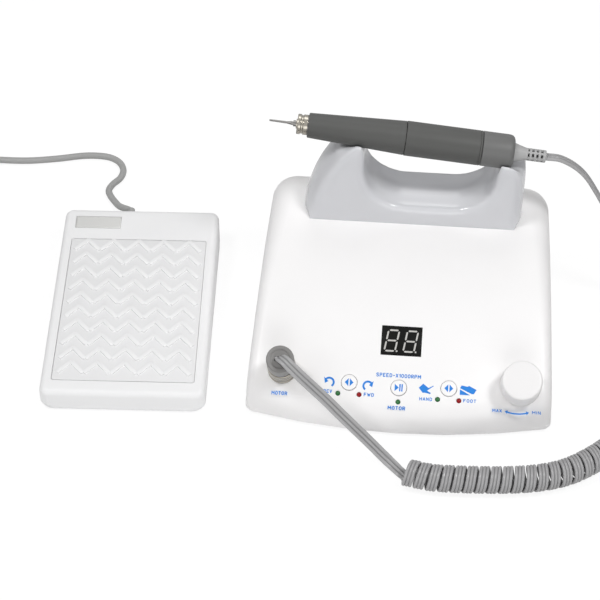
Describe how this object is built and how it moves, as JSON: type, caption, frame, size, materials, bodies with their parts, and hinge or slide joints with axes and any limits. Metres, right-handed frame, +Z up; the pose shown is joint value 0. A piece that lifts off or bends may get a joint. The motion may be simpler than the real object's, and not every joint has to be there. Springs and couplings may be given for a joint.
{
  "type": "nail drill machine",
  "caption": "White desktop nail drill unit with knob, buttons and display, a pen-shaped handpiece on a curly cord lying in its cradle, and a corded foot pedal.",
  "frame": {"origin": "on the table, in the middle of the box round the control unit and the pedal", "axes": "+X to the right, from the pedal to the control unit, +Y to the back, +Z up"},
  "size_m": [0.5668, 0.2923, 0.143],
  "materials": {
    "white_plastic": "satin",
    "pedal_plastic": "fine texture",
    "cradle_plastic": "satin",
    "handpiece_plastic": "soft matte",
    "cap_plastic": "soft matte",
    "boot_rubber": "matte",
    "cord_jacket": "satin",
    "pedal_cord_jacket": "satin",
    "nickel": "polished",
    "steel": "machined",
    "black_plastic": "matte",
    "black_rubber": "matte",
    "display_face": "glossy",
    "lamp_green": "clear lens",
    "lamp_red": "clear lens",
    "circuit_board": "solder mask",
    "copper_wire": "enamelled",
    "magnet": "sintered",
    "carbon": "matte",
    "rocker_plastic": "glossy",
    "badge_metal": "satin"
  },
  "bodies": {
    "unit_and_pedal": {"top_shell": "white_plastic", "base_tray": "white_plastic", "pedal_cover": "pedal_plastic", "pedal_base": "pedal_plastic", "cradle": "cradle_plastic", "motor_plug": "cord_jacket", "plug_lead": "cord_jacket", "curly_cord": "cord_jacket", "hand_cord": "cord_jacket", "pedal_gland": "pedal_cord_jacket", "pedal_cord": "pedal_cord_jacket", "pedal_cord_coil": "pedal_cord_jacket", "plug_ring": "nickel", "motor_socket": "nickel", "panel_nuts": "nickel", "case_screws": "steel", "inner_screws": "steel", "speed_pot": "steel", "transformer_core": "steel", "hinge_pin": "steel", "pedal_spring": "steel", "rear_panel": "black_plastic", "tact_switches": "black_plastic", "power_components": "black_plastic", "power_inlet": "black_plastic", "switch_bezel": "black_plastic", "fuse_holder": "black_plastic", "pedal_socket": "black_plastic", "pedal_switch": "black_plastic", "pedal_plug": "black_plastic", "coil_tie": "black_plastic", "rubber_feet": "black_rubber", "pedal_feet": "black_rubber", "display_module": "display_face", "green_leds": "lamp_green", "red_leds": "lamp_red", "control_board": "circuit_board", "power_board": "circuit_board", "transformer_winding": "copper_wire", "pedal_badge": "badge_metal"},
    "knob": {"speed_knob": "white_plastic", "pot_shaft": "nickel"},
    "direction_button": {"button_direction": "white_plastic"},
    "start_button": {"button_start": "white_plastic"},
    "mode_button": {"button_mode": "white_plastic"},
    "rocker": {"power_rocker": "rocker_plastic"},
    "handpiece": {"motor_housing": "handpiece_plastic", "spindle_housing": "steel", "rear_cap": "cap_plastic", "nose_ring": "nickel", "spindle_bearings": "steel", "stator_magnets": "magnet", "carbon_brushes": "carbon", "cord_boot": "boot_rubber"},
    "grip": {"handpiece_grip": "handpiece_plastic"},
    "rotating_set": {"spindle": "nickel", "collet": "steel", "rotor": "copper_wire", "drill_bit": "steel"},
    "tread": {"tread_plate": "pedal_plastic"}
  },
  "joints": [
    {"name": "knob_turn", "type": "hinge", "parent": "unit_and_pedal", "child": "knob", "pos_m": [0.14156, -0.062, 0.02998], "axis": [0, -0.5063, 0.8624], "range_deg": [0, 280]},
    {"name": "press_direction", "type": "slide", "parent": "unit_and_pedal", "child": "direction_button", "axis": [0, 0.4868, -0.8735], "range_m": [0, 0.0006], "stiffness_N_per_m": 1500, "springref_m": -0.0002},
    {"name": "press_start", "type": "slide", "parent": "unit_and_pedal", "child": "start_button", "axis": [0, 0.4868, -0.8735], "range_m": [0, 0.0006], "stiffness_N_per_m": 1500, "springref_m": -0.0002},
    {"name": "press_mode", "type": "slide", "parent": "unit_and_pedal", "child": "mode_button", "axis": [0, 0.4868, -0.8735], "range_m": [0, 0.0006], "stiffness_N_per_m": 1500, "springref_m": -0.0002},
    {"name": "rocker_tilt", "type": "hinge", "parent": "unit_and_pedal", "child": "rocker", "pos_m": [0.05356, 0.0736, 0.036], "axis": [1, 0, 0], "range_deg": [0, 22]},
    {"name": "handpiece_lift", "type": "slide", "parent": "unit_and_pedal", "child": "handpiece", "axis": [0, 0, 1], "range_m": [0, 0.06], "deforming": ["hand_cord"]},
    {"name": "grip_twist", "type": "hinge", "parent": "handpiece", "child": "grip", "pos_m": [0.00226, 0.048, 0.13529], "axis": [0.9949, 0, -0.1011], "range_deg": [0, 40]},
    {"name": "spindle_spin", "type": "hinge", "parent": "handpiece", "child": "rotating_set", "pos_m": [0.00226, 0.048, 0.13529], "axis": [0.9949, 0, -0.1011], "continuous": true},
    {"name": "tread_press", "type": "hinge", "parent": "unit_and_pedal", "child": "tread", "pos_m": [-0.10969, 0.04781, 0.01891], "axis": [0.9986, 0.0523, 0], "range_deg": [0, 2.5], "stiffness_Nm_per_rad": 15, "springref_deg": -0.57, "deforming": ["pedal_spring"]}
  ]
}
